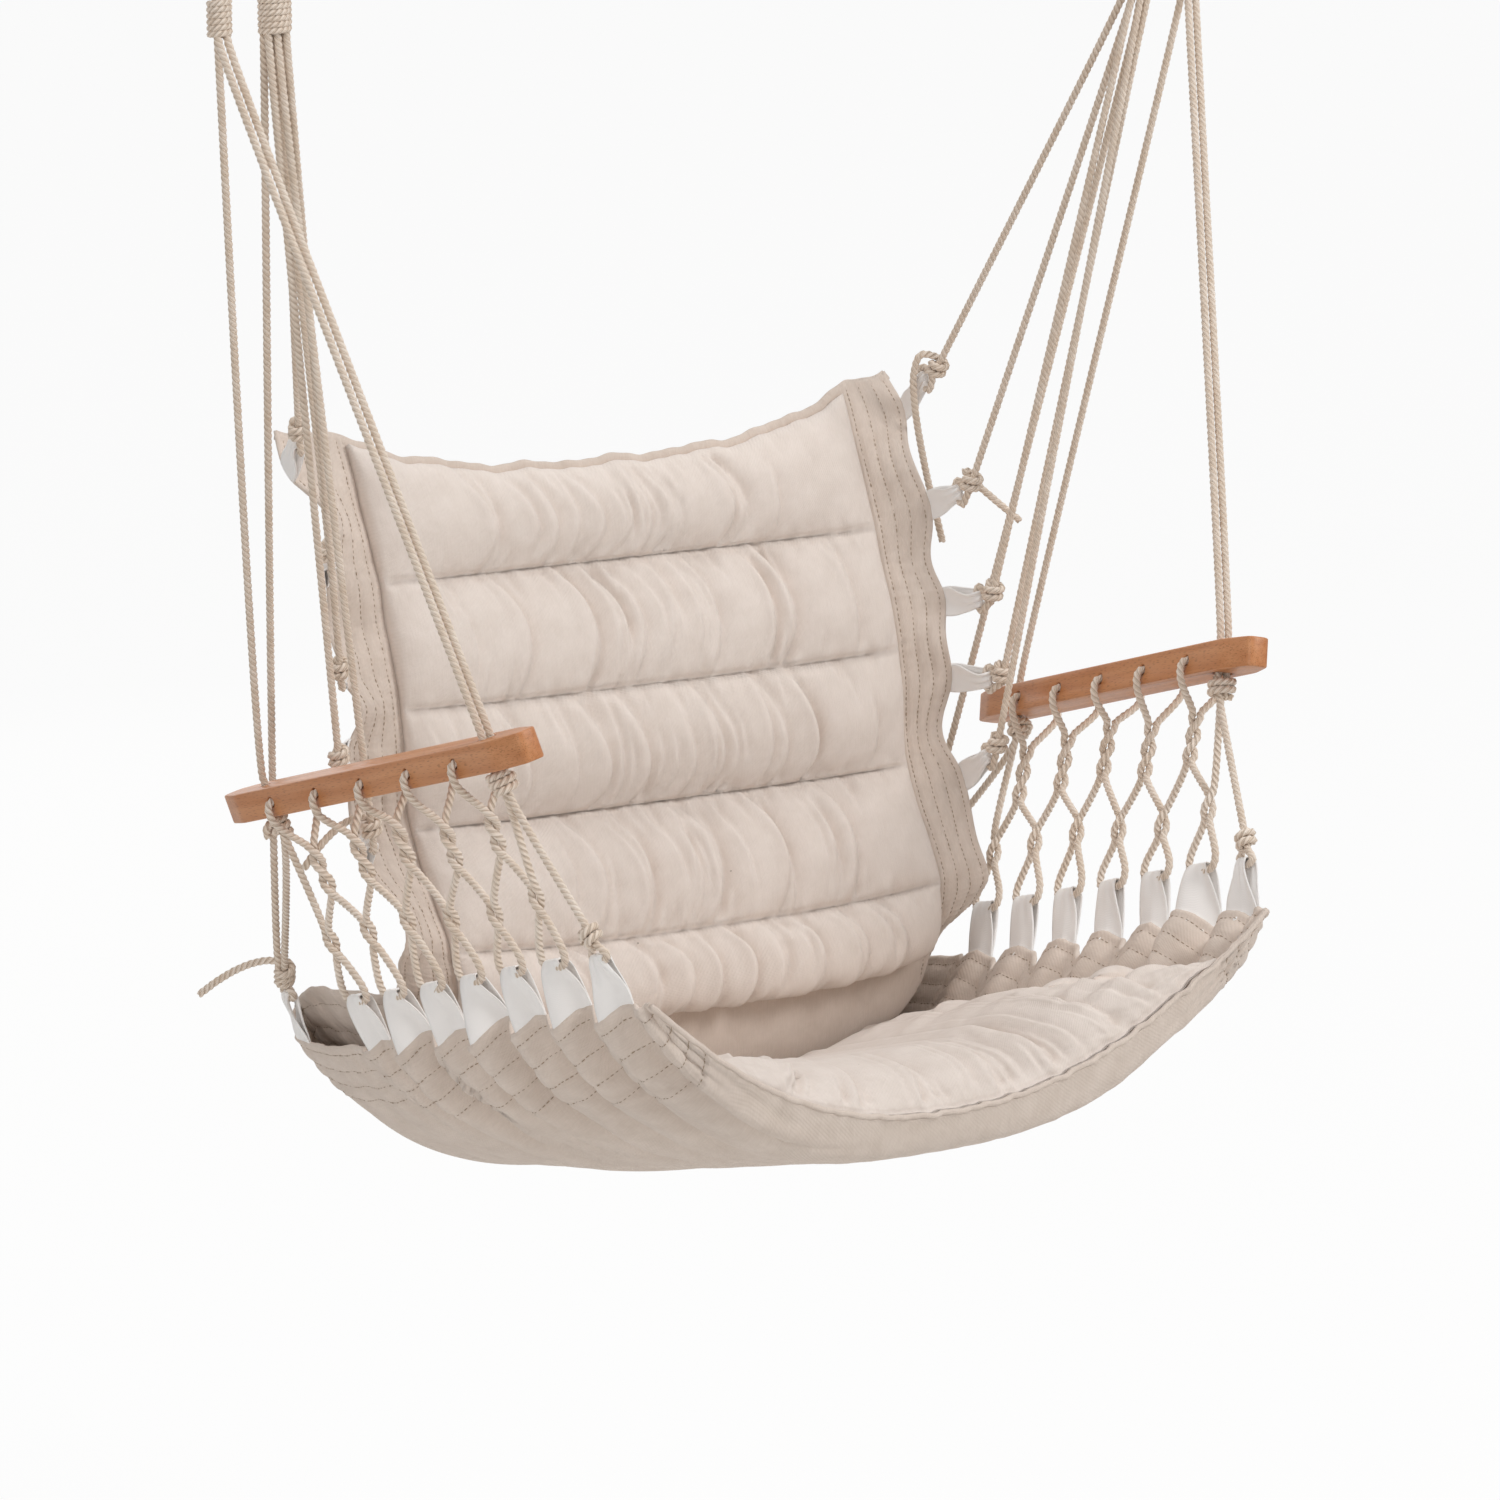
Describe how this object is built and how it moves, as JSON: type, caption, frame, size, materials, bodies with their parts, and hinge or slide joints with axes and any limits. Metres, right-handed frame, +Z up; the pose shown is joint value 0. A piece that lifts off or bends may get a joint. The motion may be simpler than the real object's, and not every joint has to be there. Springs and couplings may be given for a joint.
{
  "type": "hammock chair",
  "caption": "Hanging hammock chair: canvas sling with a channelled back pad and a seat pad, laced rope sides and wooden armrests, roped to a spreader bar under a ring.",
  "frame": {"origin": "inside the top of the hanging ring, where the hook that carries the chair bears", "axes": "+Z up, the chair faces -Y, +X towards the left hand of someone who sits in it"},
  "size_m": [0.9, 0.5908, 1.3749],
  "materials": {
    "steel": "polished wire",
    "rope": "twisted cotton rope",
    "wood": "satin varnish",
    "canvas": "woven canvas",
    "cushion_cover": "woven canvas",
    "webbing": "satin tape"
  },
  "bodies": {
    "ring": {"hanging_ring": "steel"},
    "eye": {"ring_rope_eye": "rope", "eye_whipping": "rope"},
    "spreader": {"crotch_knot": "rope", "suspension_rope_left": "rope", "suspension_rope_right": "rope", "spreader_bar": "wood"},
    "chair": {"back_rope_bundle_left": "rope", "back_rope_bundle_right": "rope", "armrest_rope_bundle_left": "rope", "armrest_rope_bundle_right": "rope", "armrest_left": "wood", "armrest_right": "wood", "back_sling": "canvas", "back_cushion": "cushion_cover", "seat_sling": "canvas", "seat_cushion": "cushion_cover", "seat_front_welt": "canvas", "back_rope_left_1": "rope", "back_rope_left_2": "rope", "back_rope_left_3": "rope", "back_rope_left_4": "rope", "back_rope_left_5": "rope", "rear_ropes_left": "rope", "front_ropes_left": "rope", "side_lacing_left": "rope", "back_rope_right_1": "rope", "back_rope_right_2": "rope", "back_rope_right_3": "rope", "back_rope_right_4": "rope", "back_rope_right_5": "rope", "rear_ropes_right": "rope", "front_ropes_right": "rope", "side_lacing_right": "rope", "back_loop_left_1": "webbing", "back_loop_left_2": "webbing", "back_loop_left_3": "webbing", "back_loop_left_4": "webbing", "back_loop_left_5": "webbing", "seat_loop_left_1": "webbing", "seat_loop_left_2": "webbing", "seat_loop_left_3": "webbing", "seat_loop_left_4": "webbing", "seat_loop_left_5": "webbing", "seat_loop_left_6": "webbing", "seat_loop_left_7": "webbing", "seat_loop_left_8": "webbing", "back_loop_right_1": "webbing", "back_loop_right_2": "webbing", "back_loop_right_3": "webbing", "back_loop_right_4": "webbing", "back_loop_right_5": "webbing", "seat_loop_right_1": "webbing", "seat_loop_right_2": "webbing", "seat_loop_right_3": "webbing", "seat_loop_right_4": "webbing", "seat_loop_right_5": "webbing", "seat_loop_right_6": "webbing", "seat_loop_right_7": "webbing", "seat_loop_right_8": "webbing"}
  },
  "joints": [
    {"name": "swing", "type": "hinge", "parent": "ring", "child": "eye", "pos_m": [0, 0, -0.0395], "axis": [1, 0, 0], "range_deg": [-25, 25]},
    {"name": "sway", "type": "hinge", "parent": "eye", "child": "spreader", "pos_m": [0, 0, -0.1061], "axis": [0, 1, 0], "range_deg": [-10, 10]},
    {"name": "rock", "type": "hinge", "parent": "spreader", "child": "chair", "pos_m": [0, 0, -0.4071], "axis": [1, 0, 0], "range_deg": [-20, 20]}
  ]
}
